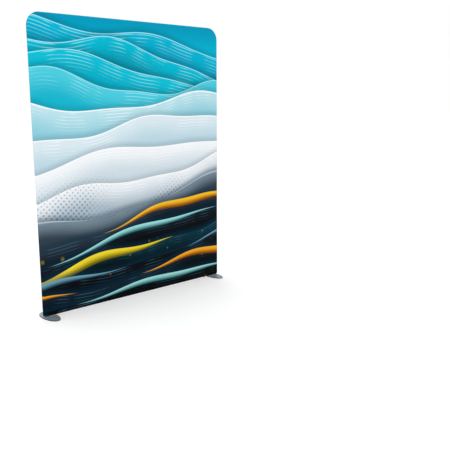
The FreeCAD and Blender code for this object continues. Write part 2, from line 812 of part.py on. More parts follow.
# Joints between tubes: name, place of the joint's plane, way along the tube from there to the button,
# way in from the frame to its middle, and whether a separate spigot is riveted there.
joints = []
for side, sign, inward, turn in SIDES:
    inside = X_AXIS * inward
    post = f"{sign}post_x"
    joints += [
        (f"{side}_base", post, "post_start_z", Z_AXIS, inside, False),
        (f"{side}_post", post, "post_start_z + post_length", Z_AXIS, inside, True),
        (f"{side}_shoulder", post, "bend_end_z", Z_AXIS * -1, inside, True),
        (f"{side}_top", f"{sign}bend_end_x", "top_rail_z", inside, Z_AXIS * -1, True),
        (f"{side}_hem", f"{sign}rail_start_x", "bottom_rail_z", inside, Z_AXIS, False),
    ]
joints += [
    ("middle_hem", "bottom_joint_offset", "bottom_rail_z", X_AXIS, Z_AXIS, True),
    ("centre_post", "0", "centre_start_z + centre_length", Z_AXIS, X_AXIS, True),
]

# Frame tubes and fittings.
for side, sign, inward, turn in SIDES:
    lower = straight_tube(f"{side}_lower_post", "post_length", "button_hole", "rivet_hole")
    place(lower, x=f"{sign}post_x", z="post_start_z", rotation=turn)
    upper = straight_tube(f"{side}_upper_post", "post_length", "button_hole", "button_hole")
    place(upper, x=f"{sign}post_x", z="post_start_z + post_length", rotation=turn)
    place(bent_corner(f"{side}_top_bend"), x=f"{sign}post_x", z="top_rail_z", rotation=turn)
    place(elbow(f"{side}_bottom_elbow"), x=f"{sign}post_x", z="bottom_rail_z", rotation=turn)

top_rail = straight_tube("top_rail", "2 * bend_end_x", "button_hole", "button_hole")
side_hole(top_rail, "peg_diameter + 2 * peg_clearance", "bend_end_x")
place(top_rail, x="-bend_end_x", z="top_rail_z", rotation=ALONG_X)

left_rail_length = "rail_start_x + bottom_joint_offset"
left_rail = straight_tube("left_bottom_rail", left_rail_length, "rivet_hole", "button_hole")
side_hole(left_rail, "peg_diameter + 2 * peg_clearance", "bottom_joint_offset")
place(left_rail, x="bottom_joint_offset", z="bottom_rail_z", rotation=AGAINST_X)
right_rail_length = "rail_start_x - bottom_joint_offset"
right_rail = straight_tube("right_bottom_rail", right_rail_length, "button_hole", "button_hole")
place(right_rail, x="rail_start_x", z="bottom_rail_z", rotation=AGAINST_X)

centre_lower = straight_tube("centre_lower_post", "centre_length", None, "rivet_hole")
place(centre_lower, z="centre_start_z")
centre_upper = straight_tube("centre_upper_post", "centre_length", "button_hole", None)
place(centre_upper, z="centre_start_z + centre_length")
place(saddle("bottom_saddle"), z="bottom_rail_z")
place(saddle("top_saddle"), z="top_rail_z", rotation=OVER)

# Joint hardware.
springs = []
rivets = []
for name, x, z, along, outward, has_spigot in joints:
    button_x, button_z = x, z
    rivet_x, rivet_z = x, z
    if along.z:
        step = "+" if along.z > 0 else "-"
        back = "-" if along.z > 0 else "+"
        button_z, rivet_z = f"{z} {step} joint_setback", f"{z} {back} joint_setback"
    else:
        step = "+" if along.x > 0 else "-"
        back = "-" if along.x > 0 else "+"
        button_x, rivet_x = f"{x} {step} joint_setback", f"{x} {back} joint_setback"
    turn = facing(along, outward)
    if has_spigot:
        sleeve_turn = FreeCAD.Rotation(outward, along.cross(outward), along, "ZXY")
        place(spigot(f"{name}_spigot"), x=x, z=z, rotation=sleeve_turn)
        rivet = blind_rivet(f"{name}_rivet")
        place(rivet, x=rivet_x, z=rivet_z, rotation=turn)
        rivets.append(rivet)
    place(snap_button(f"{name}_button"), x=button_x, z=button_z, rotation=turn)
    spring = hairpin_spring(f"{name}_spring")
    place(spring, x=button_x, z=button_z, rotation=turn)
    springs.append(spring)
group("spigot_rivets", rivets)
group("button_springs", springs)

# Feet.
inserts = []
for side, sign, inward, turn in SIDES:
    foot_x = f"{sign}foot_x"
    place(foot_plate(f"{side}_foot_plate"), x=foot_x, z="pad_height")
    place(foot_pads(f"{side}_foot_pads"), x=foot_x)
    place(foot_screw(f"{side}_foot_screw"), x=foot_x, z="screw_seat")
    insert = threaded_insert(f"{side}_insert")
    place(insert, x=foot_x, z="foot_top + foot_clearance + insert_clearance")
    inserts.append(insert)
group("foot_inserts", inserts)

# Cover and zip.
for name, side in (("front", -1), ("rear", 1)):
    cover_half(f"{name}_fabric", side)
    zip_tape(f"{name}_zip_tape", side)
    zip_teeth(f"{name}_zip_teeth", side)
group("zip_stops", [
    zip_stop("left_zip_stop", "-teeth_half - zip_stop_length - teeth_gap"),
    zip_stop("right_zip_stop", "teeth_half + teeth_gap"),
])
zip_slider("zip_slider")
zip_pull("zip_pull")

doc.recompute()

faults = [item.Label for item in doc.Objects if "Invalid" in item.State or "Error" in item.State]
faults += [node.Label for node in nodes if node.Shape.isNull() or not node.Shape.isValid()]
if faults:
    raise RuntimeError("these did not build: " + ", ".join(faults))

os.makedirs("parts", exist_ok=True)
for node in nodes:
    node.Shape.exportStep(f"parts/{node.Label}.step")
print(len(nodes), "sub-parts")
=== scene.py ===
import json
import math

import bpy
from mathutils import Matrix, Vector


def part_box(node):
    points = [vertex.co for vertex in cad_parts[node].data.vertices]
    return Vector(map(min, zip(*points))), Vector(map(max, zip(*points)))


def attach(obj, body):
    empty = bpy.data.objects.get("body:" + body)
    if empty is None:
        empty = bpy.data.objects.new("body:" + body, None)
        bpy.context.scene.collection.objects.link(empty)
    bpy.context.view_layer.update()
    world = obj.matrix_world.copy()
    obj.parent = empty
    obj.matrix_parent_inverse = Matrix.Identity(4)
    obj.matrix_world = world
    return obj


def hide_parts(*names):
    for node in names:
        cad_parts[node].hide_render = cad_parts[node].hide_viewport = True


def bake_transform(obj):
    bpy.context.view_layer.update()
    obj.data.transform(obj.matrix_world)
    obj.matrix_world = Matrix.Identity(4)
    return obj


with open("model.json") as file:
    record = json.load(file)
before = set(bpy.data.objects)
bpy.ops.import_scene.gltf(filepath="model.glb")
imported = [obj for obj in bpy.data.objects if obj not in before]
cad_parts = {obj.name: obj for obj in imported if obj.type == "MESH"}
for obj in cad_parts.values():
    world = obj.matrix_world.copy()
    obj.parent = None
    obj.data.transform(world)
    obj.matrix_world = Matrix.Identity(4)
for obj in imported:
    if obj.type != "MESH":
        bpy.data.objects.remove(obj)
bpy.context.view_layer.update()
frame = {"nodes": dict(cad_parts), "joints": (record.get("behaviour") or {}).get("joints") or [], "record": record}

# The dressed look of a fabric display wall. Metres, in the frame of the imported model: the floor is
# z = 0, the wall stands along x and its printed front faces -y.

# Sizes of the cover, read from the frame or repeated from its solids. The print runs over the rear
# half's rolled edge up to PRINT_END.
cover_low, cover_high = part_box("front_fabric")
ROLL_RADIUS = -cover_low.y
POST_X = cover_high.x - ROLL_RADIUS
TOP_Z = cover_high.z - ROLL_RADIUS
HEM_Z = cover_low.z + ROLL_RADIUS
TUBE_RADIUS = 0.015
BEND_RADIUS = 0.097
HEM_TURN_RADIUS = 0.003
CLOTH_THICKNESS = 0.0006
SEAM_DEPTH = 0.0007
SEAM_ANGLE = math.radians(6)
PRINT_END = 0.014

# Openings in the hem: one for the zip, which runs on past its teeth by ZIP_END, and a hole round
# each foot's boss.
_, teeth_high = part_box("front_zip_teeth")
ZIP_END = 0.006
ZIP_HALF_LENGTH = teeth_high.x + ZIP_END
ZIP_HALF_OPENING = 0.010
ZIP_CORNER = 0.003
foot_low, foot_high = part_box("right_foot_plate")
FOOT_X = (foot_low.x + foot_high.x) / 2
BOSS_HOLE_RADIUS = 0.0115

# The leaf spring behind each snap button. Its top and base are measured from the middle of its tube.
BUTTON_PROUD = 0.0016
SPRING_THICKNESS = 0.0007
SPRING_WIDTH = 0.007
SPRING_REACH = 0.040
SPRING_TIP = 0.005
SPRING_TOP = 0.00807
SPRING_BASE = 0.01044

# Lamps on both sides of the wall, and the camera that sees it as the photograph does.
LAMP_SIZE = 4.0
LAMP_TARGET = Vector((0, 0, 1.2))
CAMERA_PLACE = (-3.424, -4.806, 1.845)
CAMERA_YAW = math.radians(-43.397)
CAMERA_PITCH = math.radians(-11.343)
CAMERA_LENS = 51.12
CAMERA_SENSOR = 36


def srgb(red, green, blue):
    """A colour as shown on a screen, in linear light."""
    def linear(level):
        share = level / 255
        return share / 12.92 if share <= 0.04045 else ((share + 0.055) / 1.055) ** 2.4
    return linear(red), linear(green), linear(blue), 1


WHITE = srgb(255, 255, 255)


class Field:
    """A number that varies over a surface, worked out by math nodes."""

    def __init__(self, paint, socket):
        self.paint = paint
        self.socket = socket

    def math(self, operation, *others):
        node = self.paint.add("ShaderNodeMath", operation=operation)
        for target, value in zip(node.inputs, (self,) + others):
            self.paint.feed(target, value)
        return Field(self.paint, node.outputs["Value"])

    def __add__(self, other):
        return self.math("ADD", other)

    def __sub__(self, other):
        return self.math("SUBTRACT", other)

    def __mul__(self, other):
        return self.math("MULTIPLY", other)

    def __truediv__(self, other):
        return self.math("DIVIDE", other)

    def sine(self):
        return self.math("SINE")

    def size(self):
        return self.math("ABSOLUTE")

    def flipped(self):
        return self * -1 + 1

    def step(self, low, high):
        """0 up to low and 1 from high, smooth between them."""
        node = self.paint.add("ShaderNodeMapRange", interpolation_type="SMOOTHSTEP")
        self.paint.feed(node.inputs["Value"], self)
        self.paint.feed(node.inputs["From Min"], low)
        self.paint.feed(node.inputs["From Max"], high)
        return Field(self.paint, node.outputs["Result"])


CELL_RANDOMNESS = 0.45
SHADER_SOCKETS = {
    "roughness": "Roughness",
    "metallic": "Metallic",
    "sheen": "Sheen Weight",
    "sheen_roughness": "Sheen Roughness",
    "specular": "Specular IOR Level",
}


class Paint:
    """A material and the nodes that colour it, on coordinates fixed to its piece."""

    def __init__(self, name, **constants):
        self.material = bpy.data.materials.new(name)
        self.material.use_nodes = True
        self.tree = self.material.node_tree
        self.shader = self.tree.nodes["Principled BSDF"]
        for key, value in constants.items():
            self.shader.inputs[SHADER_SOCKETS[key]].default_value = value
        self.place = self.add("ShaderNodeTexCoord").outputs["Object"]
        split = self.add("ShaderNodeSeparateXYZ")
        self.feed(split.inputs["Vector"], self.place)
        self.x, self.y, self.z = (Field(self, socket) for socket in split.outputs)

    def add(self, kind, **settings):
        node = self.tree.nodes.new(kind)
        for key, value in settings.items():
            setattr(node, key, value)
        return node

    def feed(self, target, value):
        if isinstance(value, Field):
            value = value.socket
        if isinstance(value, bpy.types.NodeSocket):
            self.tree.links.new(value, target)
        else:
            target.default_value = value

    def point(self, x, y, z=0.0):
        node = self.add("ShaderNodeCombineXYZ")
        for target, value in zip(node.inputs, (x, y, z)):
            self.feed(target, value)
        return node.outputs["Vector"]

    def noise(self, scale, detail=2.0, at=None):
        node = self.add("ShaderNodeTexNoise")
        self.feed(node.inputs["Vector"], at or self.place)
        node.inputs["Scale"].default_value = scale
        node.inputs["Detail"].default_value = detail
        return Field(self, node.outputs["Fac"])

    def cells(self, scale, at):
        """Distance to the nearest of scattered points, and a random colour for each of them."""
        node = self.add("ShaderNodeTexVoronoi")
        self.feed(node.inputs["Vector"], at)
        node.inputs["Scale"].default_value = scale
        node.inputs["Randomness"].default_value = CELL_RANDOMNESS
        split = self.add("ShaderNodeSeparateColor")
        self.feed(split.inputs["Color"], node.outputs["Color"])
        draws = [Field(self, socket) for socket in split.outputs]
        return Field(self, node.outputs["Distance"]), draws

    def mix(self, share, first, second, blend="MIX"):
        """The first colour where share is 0, the second, or its product with the first, where 1."""
        node = self.add("ShaderNodeMix", data_type="RGBA", blend_type=blend)
        sockets = {socket.identifier: socket for socket in node.inputs}
        self.feed(sockets["Factor_Float"], share)
        self.feed(sockets["A_Color"], first)
        self.feed(sockets["B_Color"], second)
        return next(socket for socket in node.outputs if socket.identifier == "Result_Color")

    def edges(self, low, high):
        """1 on outer edges, from the mesh's own curvature."""
        return Field(self, self.add("ShaderNodeNewGeometry").outputs["Pointiness"]).step(low, high)

    def colour(self, value):
        self.feed(self.shader.inputs["Base Color"], value)

    def rough(self, value):
        self.feed(self.shader.inputs["Roughness"], value)

    def bump(self, height, depth, strength):
        node = self.add("ShaderNodeBump")
        node.inputs["Distance"].default_value = depth
        node.inputs["Strength"].default_value = strength
        self.feed(node.inputs["Height"], height)
        self.feed(self.shader.inputs["Normal"], node.outputs["Normal"])


# How deep the knit's loops lie in the fabric, and how strongly they show.
KNIT_DEPTH = 0.00012
KNIT_STRENGTH = 0.3


def knit(paint):
    """The rows of small slanted loops of a warp-knit stretch fabric, as a height from 0 to 1."""
    wale = 0.0009
    course = 0.0007
    slant_share = 0.25
    wale_height = 0.6
    course_height = 0.2
    column = (paint.x * (math.pi / wale)).sine()
    slant = column * slant_share + paint.z / course
    row = (slant * math.tau).sine()
    return column.size() * wale_height + row * course_height + course_height


# The print's soft edges, the shadow above a ribbon, and the short wave on a ribbon's long one.
EDGE_BLUR = 0.0015
STRAND_BLUR = 0.002
SHADOW_REACH = 0.07
SHADOW_BLUE = srgb(0, 44, 66)
RIPPLE_TURNS = 2.3
RIPPLE_PHASE = 1.7
RIPPLE_SHARE = 0.3


def wave(paint, height, slope, swing, length, phase):
    """The upper edge of a ribbon as a height over x: a long wave with a short one on it."""
    turn = math.tau / length
    long_wave = (paint.x * turn + phase).sine() * swing
    ripple = (paint.x * (turn * RIPPLE_TURNS) + phase * RIPPLE_PHASE).sine() * (swing * RIPPLE_SHARE)
    return long_wave + ripple + paint.x * slope + height


def ribbon(paint, under, edge, upper, lower, fade, shade):
    """Lay a ribbon over the picture so far: all that lies below its edge, with a shadow above it."""
    depth = edge - paint.z
    shadow = (depth * -1).step(0.0, SHADOW_REACH).flipped() * shade
    shaded = paint.mix(shadow, under, SHADOW_BLUE)
    body = paint.mix(depth.step(0.0, fade), upper, lower)
    return paint.mix(depth.step(-EDGE_BLUR, EDGE_BLUR), shaded, body)


def strand(paint, under, edge, width, bright, deep):
    """A band below an edge, brightest along its top."""
    depth = edge - paint.z
    inside = depth.step(-EDGE_BLUR, EDGE_BLUR) * (depth * -1 + width).step(-STRAND_BLUR, STRAND_BLUR)
    tint = paint.mix((depth / width).step(0.1, 1.0), bright, deep)
    return paint.mix(inside, under, tint)


def contour_lines(paint, under, edge, spacing, reach, colour):
    """Fine broken lines that follow an edge downwards and fade out."""
    wander = 0.05
    strength = 0.7
    start_blur = 0.001
    depth = edge - paint.z
    swell = paint.noise(scale=1.6) * wander
    offset = ((depth + swell) / spacing).math("FRACT") - 0.5
    line = offset.size().step(0.05, 0.16).flipped()
    fading = depth.step(0.0, reach).flipped() * depth.step(-start_blur, start_blur)
    breaks = paint.noise(scale=4.5).step(0.42, 0.62)
    return paint.mix(line * fading * breaks * strength, under, colour)


def halftone(paint, under):
    """A field of small round dots that grow towards the dark part."""
    pitch = 0.036
    turn_cosine, turn_sine = 0.8, 0.6
    widest = 0.4
    strength = 0.6
    largest_at, smallest_at = 0.7, 1.45
    along = (paint.x * turn_cosine + paint.z * turn_sine) / pitch
    across = (paint.z * turn_cosine - paint.x * turn_sine) / pitch
    offset_x = along.math("FRACT") - 0.5
    offset_z = across.math("FRACT") - 0.5
    distance = (offset_x * offset_x + offset_z * offset_z).math("SQRT")
    radius = paint.z.step(largest_at, smallest_at).flipped() * widest
    dots = (radius - distance).step(0.0, 0.08)
    patch = paint.noise(scale=1.4).step(0.4, 0.6)
    return paint.mix(dots * patch * strength, under, srgb(84, 112, 130))


def glow_discs(paint, under, scale, seed):
    """Soft out-of-focus discs of warm and cool light scattered over the lower part."""
    shown_share = 0.3
    fades_from, fades_to = 0.45, 0.75
    flattening = 0.9
    smallest, growth = 0.12, 0.16
    faintest, brightening = 0.25, 0.5
    spot = paint.point(paint.x + seed, paint.z * flattening, seed)
    distance, (pick, tint, weight) = paint.cells(scale, spot)
    radius = weight * growth + smallest
    disc = (radius - distance).step(0.0, 0.12)
    shown = pick.math("LESS_THAN", shown_share) * paint.z.step(fades_from, fades_to).flipped()
    warm = paint.mix(tint.step(0.2, 0.45), srgb(240, 156, 20), srgb(228, 204, 24))
    lit = paint.mix(tint.step(0.58, 0.62), warm, srgb(122, 204, 204))
    return paint.mix(disc * shown * (weight * brightening + faintest), under, lit)


# Ribbons from the top down: height, slope, swing, wavelength, phase, upper and lower colour.
TEAL_RIBBONS = (
    (2.36, -0.17, 0.07, 2.6, 0.4, srgb(0, 176, 206), srgb(0, 142, 174)),
    (2.22, -0.13, 0.08, 2.2, 1.9, srgb(0, 182, 206), srgb(0, 138, 160)),
    (2.08, -0.09, 0.07, 2.4, 3.1, srgb(10, 186, 208), srgb(0, 160, 184)),
    (1.95, -0.04, 0.08, 2.0, 4.4, srgb(76, 200, 218), srgb(20, 176, 200)),
)
PALE_RIBBONS = (
    (1.80, 0.02, 0.07, 2.3, 5.6, srgb(184, 222, 231), srgb(140, 202, 216)),
    (1.60, 0.07, 0.06, 2.1, 0.7, srgb(216, 230, 237), srgb(184, 212, 223)),
    (1.36, 0.11, 0.06, 2.5, 2.2, srgb(240, 243, 246), srgb(202, 216, 224)),
    (1.12, 0.14, 0.05, 1.9, 3.6, srgb(232, 237, 241), srgb(168, 184, 196)),
)
DARK_RIBBONS = (
    (0.90, 0.14, 0.06, 2.2, 4.9, srgb(116, 134, 146), srgb(48, 62, 74)),
    (0.76, 0.15, 0.05, 1.8, 0.2, srgb(36, 52, 66), srgb(10, 18, 26)),
    (0.62, 0.15, 0.05, 2.4, 1.5, srgb(14, 26, 36), srgb(2, 6, 10)),
    (0.48, 0.14, 0.05, 2.0, 2.9, srgb(2, 50, 62), srgb(1, 14, 20)),
    (0.35, 0.11, 0.05, 2.3, 4.2, srgb(8, 14, 22), srgb(0, 2, 4)),
    (0.23, 0.08, 0.04, 1.9, 5.5, srgb(14, 32, 46), srgb(2, 5, 9)),
    (0.11, 0.04, 0.03, 2.1, 0.9, srgb(4, 10, 14), srgb(0, 2, 3)),
)
# The bright band below each dark ribbon's edge: its upper and lower colour, and how wide it gets.
STRANDS = (
    (srgb(176, 196, 206), srgb(110, 130, 144), 0.03),
    (srgb(248, 186, 36), srgb(128, 62, 0), 0.075),
    (srgb(150, 218, 216), srgb(12, 74, 84), 0.06),
    (srgb(238, 214, 44), srgb(98, 88, 0), 0.09),
    (srgb(104, 158, 178), srgb(16, 44, 62), 0.06),
    (srgb(246, 168, 32), srgb(116, 52, 0), 0.075),
    (srgb(156, 220, 214), srgb(14, 84, 90), 0.06),
)
FOAM_BLUE = srgb(178, 236, 245)
PAPER_WHITE = srgb(253, 254, 255)
STEEL_BLUE = srgb(64, 104, 126)


def rimmed_ribbons(paint, picture, ribbons, fade, shade, spacing, reach, rim, bright, deep):
    """Ribbons with a thin bright rim along the edge and fine lines below it."""
    for *shape, upper, lower in ribbons:
        edge = wave(paint, *shape)
        picture = ribbon(paint, picture, edge, upper, lower, fade, shade)
        picture = contour_lines(paint, picture, edge, spacing, reach, bright)
        picture = strand(paint, picture, edge, rim, bright, deep)
    return picture


def stranded_ribbons(paint, picture, fade, shade, spacing, reach):
    """Dark ribbons, each with a coloured strand that swells and thins out along its edge."""
    strand_turn = 2.4
    swell_share = 0.6
    for (*shape, upper, lower), (bright, deep, widest) in zip(DARK_RIBBONS, STRANDS):
        edge = wave(paint, *shape)
        picture = ribbon(paint, picture, edge, upper, lower, fade, shade)
        picture = contour_lines(paint, picture, edge, spacing, reach, STEEL_BLUE)
        swell = (paint.x * strand_turn + shape[-1]).sine() * (widest * swell_share)
        picture = strand(paint, picture, edge, swell + widest * (1 - swell_share), bright, deep)
    return picture


def artwork(paint):
    """A generic abstract print: stacked ribbons from turquoise through white to near black."""
    fades_from, fades_to = 2.2, 2.5
    picture = paint.mix(paint.z.step(fades_from, fades_to), srgb(0, 178, 208), srgb(0, 150, 184))
    picture = rimmed_ribbons(paint, picture, TEAL_RIBBONS, fade=0.26, shade=0.3, spacing=0.03,
                             reach=0.2, rim=0.008, bright=FOAM_BLUE, deep=srgb(110, 214, 232))
    picture = rimmed_ribbons(paint, picture, PALE_RIBBONS, fade=0.24, shade=0.25, spacing=0.028,
                             reach=0.22, rim=0.01, bright=PAPER_WHITE, deep=srgb(240, 245, 248))
    picture = halftone(paint, picture)
    picture = stranded_ribbons(paint, picture, fade=0.16, shade=0.55, spacing=0.028, reach=0.14)
    picture = glow_discs(paint, picture, scale=5.0, seed=1.0)
    return glow_discs(paint, picture, scale=9.0, seed=5.0)


def printed_fabric():
    """Stretch knit dyed with the artwork, with patchy painted shade in the gaps between its loops."""
    paint = Paint("printed_fabric", roughness=0.9, sheen=0.02, sheen_roughness=0.5, specular=0.05)
    patchy_shade_share = 0.25
    loops = knit(paint)
    # Painted shade: patchy darkening in the gaps between the knit's loops.
    grain = paint.noise(scale=900.0, detail=1.0).step(0.3, 0.75) * loops.step(0.1, 0.6).flipped()
    paint.colour(paint.mix(grain * patchy_shade_share, artwork(paint), srgb(120, 120, 120), "MULTIPLY"))
    paint.bump(loops, KNIT_DEPTH, KNIT_STRENGTH)
    return paint.material


def tube_distance(paint):
    """Distance over the wall's face to the middle of the nearest tube of the frame."""
    past_x = paint.x.size() - (POST_X - BEND_RADIUS)
    past_z = paint.z - (TOP_Z - BEND_RADIUS)
    right = past_x.math("MAXIMUM", 0.0)
    above = past_z.math("MAXIMUM", 0.0)
    inside = past_x.math("MAXIMUM", past_z).math("MINIMUM", 0.0)
    outline = ((right * right + above * above).math("SQRT") + inside - BEND_RADIUS).size()
    hem = (paint.z - HEM_Z).size()
    return paint.x.size().math("MINIMUM", outline).math("MINIMUM", hem)


def plain_fabric():
    """White knit with painted shade along the tubes and between its loops; the print runs on over its rolled edge.
    """
    paint = Paint("plain_fabric", roughness=0.9, sheen=0.02, sheen_roughness=0.5, specular=0.05)
    print_blur = 0.0003
    tube_shade_share = 0.5
    gap_shade_share = 0.2
    cloud = paint.noise(scale=1.1)
    base = paint.mix(cloud.step(0.2, 0.8), srgb(219, 222, 227), srgb(226, 228, 232))
    # Painted shade of the tubes behind the cloth: a faint darker band along each tube.
    tube_shade = tube_distance(paint).step(TUBE_RADIUS * 0.6, TUBE_RADIUS * 1.4).flipped()
    tube_shaded = paint.mix(tube_shade * tube_shade_share, base, srgb(176, 182, 190))
    cloth = paint.mix(paint.y.step(PRINT_END - print_blur, PRINT_END), artwork(paint), tube_shaded)
    loops = knit(paint)
    # Painted shade in the gaps between the knit's loops.
    gap_shade = loops.step(0.1, 0.6).flipped()
    paint.colour(paint.mix(gap_shade * gap_shade_share, cloth, srgb(150, 150, 150), "MULTIPLY"))
    paint.bump(loops, KNIT_DEPTH, KNIT_STRENGTH)
    return paint.material


def zip_tape():
    """Black woven tape with a herringbone rib and a little lint."""
    paint = Paint("zip_tape", roughness=0.8, sheen=0.2, specular=0.3)
    rib = 0.0012
    lint_share = 0.25
    slant = paint.x + (paint.y * (math.pi / rib)).sine().size() * rib
    weave = (slant * (math.tau / rib)).sine() * 0.5 + 0.5
    lint = paint.noise(scale=240.0, detail=3.0).step(0.45, 0.75)
    thread = paint.mix(weave, srgb(22, 22, 24), srgb(44, 44, 47))
    paint.colour(paint.mix(lint * lint_share, thread, srgb(82, 82, 86)))
    paint.bump(weave, depth=0.00015, strength=0.5)
    return paint.material


def moulded(name, dark, light, grain, depth, roughness):
    """Moulded plastic or rubber: a slight mottle, a fine moulded grain and paler rubbed edges."""
    paint = Paint(name, specular=0.4)
    rubbed_share = 0.35
    roughness_span = 0.2
    mottle = paint.noise(scale=60.0, detail=3.0)
    base = paint.mix(mottle.step(0.35, 0.7), dark, light)
    rubbed = paint.edges(0.52, 0.6)
    paint.colour(paint.mix(rubbed * rubbed_share, base, srgb(92, 92, 94)))
    fine = paint.noise(scale=grain)
    paint.rough(fine * roughness_span + (roughness - roughness_span / 2))
    paint.bump(fine, depth, strength=0.4)
    return paint.material


def bare_metal(name, dark, light, grain, roughness):
    """Bare metal: a fine grain with its own scale along x, y and z, stains and brighter edges."""
    paint = Paint(name, metallic=1.0)
    stain_share = 0.3
    edge_share = 0.5
    line_span, stain_span = 0.16, 0.08
    spot = paint.point(paint.x * grain[0], paint.y * grain[1], paint.z * grain[2])
    lines = paint.noise(scale=1.0, detail=4.0, at=spot)
    stain = paint.noise(scale=18.0, detail=3.0)
    base = paint.mix(lines.step(0.3, 0.7), dark, light)
    stained = paint.mix(stain.step(0.5, 0.8) * stain_share, base, dark)
    paint.colour(paint.mix(paint.edges(0.52, 0.6) * edge_share, stained, light))
    span_middle = (line_span + stain_span) / 2
    paint.rough(lines * line_span + stain * stain_span + (roughness - span_middle))
    paint.bump(lines, depth=0.00005, strength=0.35)
    return paint.material


def enamel():
    """Black enamel on a zinc casting, with fine scratches down to the metal."""
    paint = Paint("zip_metal", specular=0.5)
    scratch_scale, scratch_stretch = 3000, 350
    scratch_share = 0.7
    metal_share = 0.8
    spot = paint.point(paint.x * scratch_scale, paint.y * scratch_stretch, paint.z * scratch_stretch)
    scratch = paint.noise(scale=1.0, detail=3.0, at=spot).step(0.64, 0.7)
    mottle = paint.noise(scale=500.0, detail=3.0)
    base = paint.mix(mottle.step(0.3, 0.7), srgb(22, 22, 24), srgb(48, 48, 52))
    paint.colour(paint.mix(scratch * scratch_share, base, srgb(150, 150, 152)))
    paint.feed(paint.shader.inputs["Metallic"], scratch * metal_share)
    paint.rough(mottle * 0.3 + 0.2)
    paint.bump(mottle - scratch, depth=0.00003, strength=0.4)
    return paint.material


def foot_coat():
    """Silver-grey metallic coat on a steel plate, with painted shade on the plate's sides."""
    paint = Paint("foot_plate", metallic=0.15, specular=0.25)
    cloud_share = 0.3
    flake = paint.noise(scale=1500.0, detail=1.0).step(0.35, 0.7)
    cloud = paint.noise(scale=14.0, detail=3.0)
    base = paint.mix(flake, srgb(116, 132, 140), srgb(152, 165, 171))
    top = paint.mix(cloud.step(0.35, 0.7) * cloud_share, base, srgb(104, 122, 132))
    # Painted shade: the plate's sides, away from its top and bottom faces, are painted near black.
    normal = paint.add("ShaderNodeSeparateXYZ")
    paint.feed(normal.inputs["Vector"], paint.add("ShaderNodeTexCoord").outputs["Normal"])
    flat = Field(paint, normal.outputs["Z"]).size().step(0.35, 0.75)
    paint.colour(paint.mix(flat, srgb(20, 21, 22), top))
    paint.rough(flake * 0.1 + cloud * 0.12 + 0.3)
    paint.bump(paint.noise(scale=420.0), depth=0.00008, strength=0.25)
    return paint.material


MATERIALS = {
    "printed_fabric": printed_fabric(),
    "plain_fabric": plain_fabric(),
    "zip_tape": zip_tape(),
    "zip_metal": enamel(),
    "foot_plate": foot_coat(),
}

# Moulded pieces: darker and paler colour, scale of the grain, its depth, and roughness.
MOULDED = {
    "zip_teeth": (srgb(20, 20, 22), srgb(34, 34, 37), 900.0, 0.00004, 0.45),
    "saddle_plastic": (srgb(22, 22, 24), srgb(36, 36, 39), 700.0, 0.00005, 0.5),
    "foot_pad": (srgb(18, 18, 18), srgb(32, 32, 32), 600.0, 0.0001, 0.75),
}
for slot, look in MOULDED.items():
    MATERIALS[slot] = moulded(slot, *look)

# Bare metals: darker and paler colour, scale of the grain along x, y and z, and roughness.
BARE_METALS = {
    "frame_tube": (srgb(190, 193, 197), srgb(222, 224, 227), (9, 900, 9), 0.32),
    "spigot": (srgb(176, 179, 183), srgb(214, 216, 219), (300, 300, 300), 0.38),
    "elbow_casting": (srgb(150, 153, 157), srgb(188, 190, 194), (500, 500, 500), 0.55),
    "button_steel": (srgb(186, 188, 192), srgb(224, 225, 228), (600, 600, 600), 0.28),
    "spring_steel": (srgb(104, 108, 116), srgb(150, 153, 160), (40, 900, 40), 0.35),
    "rivet": (srgb(186, 188, 191), srgb(218, 220, 223), (500, 500, 500), 0.36),
    "screw_steel": (srgb(160, 162, 166), srgb(206, 207, 211), (700, 700, 700), 0.3),
    "insert_brass": (srgb(176, 138, 72), srgb(222, 188, 118), (500, 500, 500), 0.34),
}
for slot, look in BARE_METALS.items():
    MATERIALS[slot] = bare_metal(slot, *look)

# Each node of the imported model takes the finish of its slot.
for part in frame["record"]["subparts"]:
    node = frame["nodes"][part["node"]]
    node.data.materials.clear()
    node.data.materials.append(MATERIALS[part["material_slot"]])


def new_piece(name, points, faces, slot, body="wall"):
    """A smooth mesh piece that takes a slot's finish and rides on a body, if one is named."""
    mesh = bpy.data.meshes.new(name)
    mesh.from_pydata(points, [], faces)
    mesh.materials.append(MATERIALS[slot])
    for polygon in mesh.polygons:
        polygon.use_smooth = True
    mesh.validate()
    piece = bpy.data.objects.new(name, mesh)
    bpy.context.scene.collection.objects.link(piece)
    if body:
        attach(piece, body)
    return piece


def spread(start, end, gap):
    """Evenly spaced numbers from start up to, but not including, end."""
    count = max(1, round((end - start) / gap))
    return [start + (end - start) * index / count for index in range(count)]


def grid_faces(rows, columns):
    """The quads between the points of a grid that is stored row by row."""
    faces = []
    for row in range(rows - 1):
        for column in range(columns - 1):
            corner = row * columns + column
            faces.append((corner, corner + 1, corner + columns + 1, corner + columns))
    return faces


def sleeve_faces(start, rings, sides):
    """The faces of a sleeve of equal rings of points, with a cap at each end."""
    faces = []
    for ring in range(rings - 1):
        for corner in range(sides):
            here = start + ring * sides + corner
            after = start + ring * sides + (corner + 1) % sides
            faces.append((here, after, after + sides, here + sides))
    end = start + rings * sides
    faces.append(tuple(reversed(range(start, start + sides))))
    faces.append(tuple(range(end - sides, end)))
    return faces


def turned(faces):
    """The same faces, looking the other way."""
    return [tuple(reversed(face)) for face in faces]


def thicken(piece, thickness, offset):
    """Give a sheet its thickness, to its inner side at an offset of -1 and to both sides at 0."""
    shell = piece.modifiers.new("thickness", "SOLIDIFY")
    shell.thickness = thickness
    shell.offset = offset


